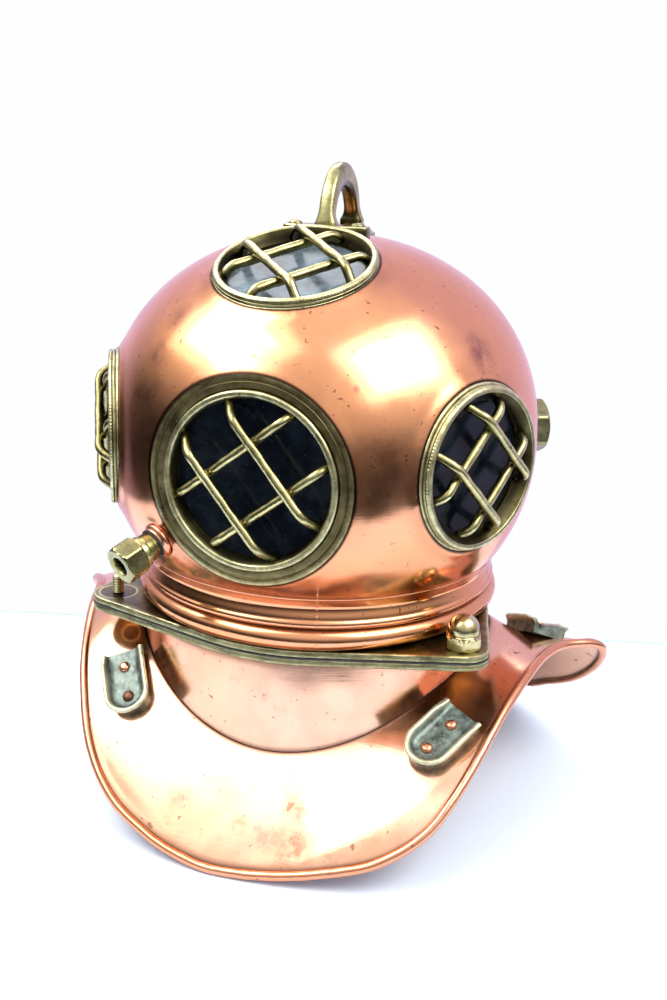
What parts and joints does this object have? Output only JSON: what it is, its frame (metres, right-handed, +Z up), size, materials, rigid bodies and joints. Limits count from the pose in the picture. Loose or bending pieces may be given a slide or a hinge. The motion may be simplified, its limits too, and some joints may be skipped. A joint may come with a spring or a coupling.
{
  "type": "diving helmet ornament",
  "caption": "Copper and brass diving helmet ornament: a domed bonnet with barred round windows, bolted through a lobed flange to a saddle-shaped corselet.",
  "frame": {"origin": "on the neck axis at table level, which is the centre of the bounding box's bottom face", "axes": "-Y is straight ahead through the front window, +X is the right-hand side seen from the front, +Z is up along the neck axis"},
  "size_m": [0.4158, 0.3646, 0.4294],
  "materials": {
    "copper": "polished copper sheet",
    "aged_brass": "aged, olive brown with rubbed edges",
    "polished_brass": "polished",
    "patina_bronze": "grey-green patina with rubbed lips",
    "rubber": "black rubber, matt",
    "dark_glass": "dusty",
    "pale_glass": "dusty, pale"
  },
  "bodies": {
    "corselet": {"corselet_apron": "copper", "apron_rim_bead": "copper", "corselet_neck": "copper", "corselet_flange": "aged_brass", "flange_gasket": "rubber", "flange_studs": "aged_brass", "bracket_front_left": "patina_bronze", "bracket_front_right": "patina_bronze", "bracket_rear_left": "patina_bronze", "bracket_rear_right": "patina_bronze", "bracket_rivets": "copper"},
    "bonnet": {"bonnet_dome": "copper", "bonnet_neck": "copper", "bonnet_flange": "aged_brass", "front_base_ring": "aged_brass", "front_gasket": "rubber", "left_base_ring": "aged_brass", "left_gasket": "rubber", "left_glass": "dark_glass", "left_bezel": "aged_brass", "left_grille": "aged_brass", "right_base_ring": "aged_brass", "right_gasket": "rubber", "right_glass": "dark_glass", "right_bezel": "aged_brass", "right_grille": "aged_brass", "top_base_ring": "aged_brass", "top_gasket": "rubber", "top_glass": "pale_glass", "top_bezel": "aged_brass", "top_grille": "aged_brass", "lifting_handle": "aged_brass", "handle_screws": "aged_brass", "inlet_socket": "copper", "inlet_seal_ring": "rubber", "inlet_tube": "aged_brass", "rear_socket": "aged_brass"},
    "front_pane": {"front_glass": "dark_glass"},
    "front_faceplate": {"front_bezel": "aged_brass", "front_grille": "aged_brass"},
    "nut_right": {"acorn_nut_right": "polished_brass"},
    "nut_rear": {"acorn_nut_rear": "polished_brass"},
    "union_nut": {"inlet_nut": "aged_brass"},
    "rear_cap": {"rear_hex_cap": "aged_brass"}
  },
  "joints": [
    {"name": "bonnet_lift", "type": "slide", "parent": "corselet", "child": "bonnet", "axis": [0, 0, 1], "range_m": [0, 0.06]},
    {"name": "front_pane_travel", "type": "slide", "parent": "bonnet", "child": "front_pane", "axis": [0, -1, 0], "range_m": [0, 0.008]},
    {"name": "front_bezel_turn", "type": "hinge", "parent": "front_pane", "child": "front_faceplate", "pos_m": [0, -0.1345, 0.246], "axis": [0, -1, 0], "range_deg": [0, 720]},
    {"name": "right_nut_turn", "type": "hinge", "parent": "bonnet", "child": "nut_right", "pos_m": [0.12436, -0.0718, 0.1335], "axis": [0, 0, 1], "continuous": true},
    {"name": "rear_nut_turn", "type": "hinge", "parent": "bonnet", "child": "nut_rear", "pos_m": [0, 0.1436, 0.1335], "axis": [0, 0, 1], "continuous": true},
    {"name": "union_nut_turn", "type": "hinge", "parent": "bonnet", "child": "union_nut", "pos_m": [-0.07436, -0.14104, 0.19002], "axis": [-0.4374, -0.8296, -0.3469], "continuous": true},
    {"name": "rear_cap_turn", "type": "hinge", "parent": "bonnet", "child": "rear_cap", "pos_m": [0.13504, 0.07609, 0.249], "axis": [0.8712, 0.4909, 0], "continuous": true}
  ],
  "couplings": [
    {"joint": "front_bezel_turn", "follows": "front_pane_travel", "rad_per_m": 1570.8}
  ]
}
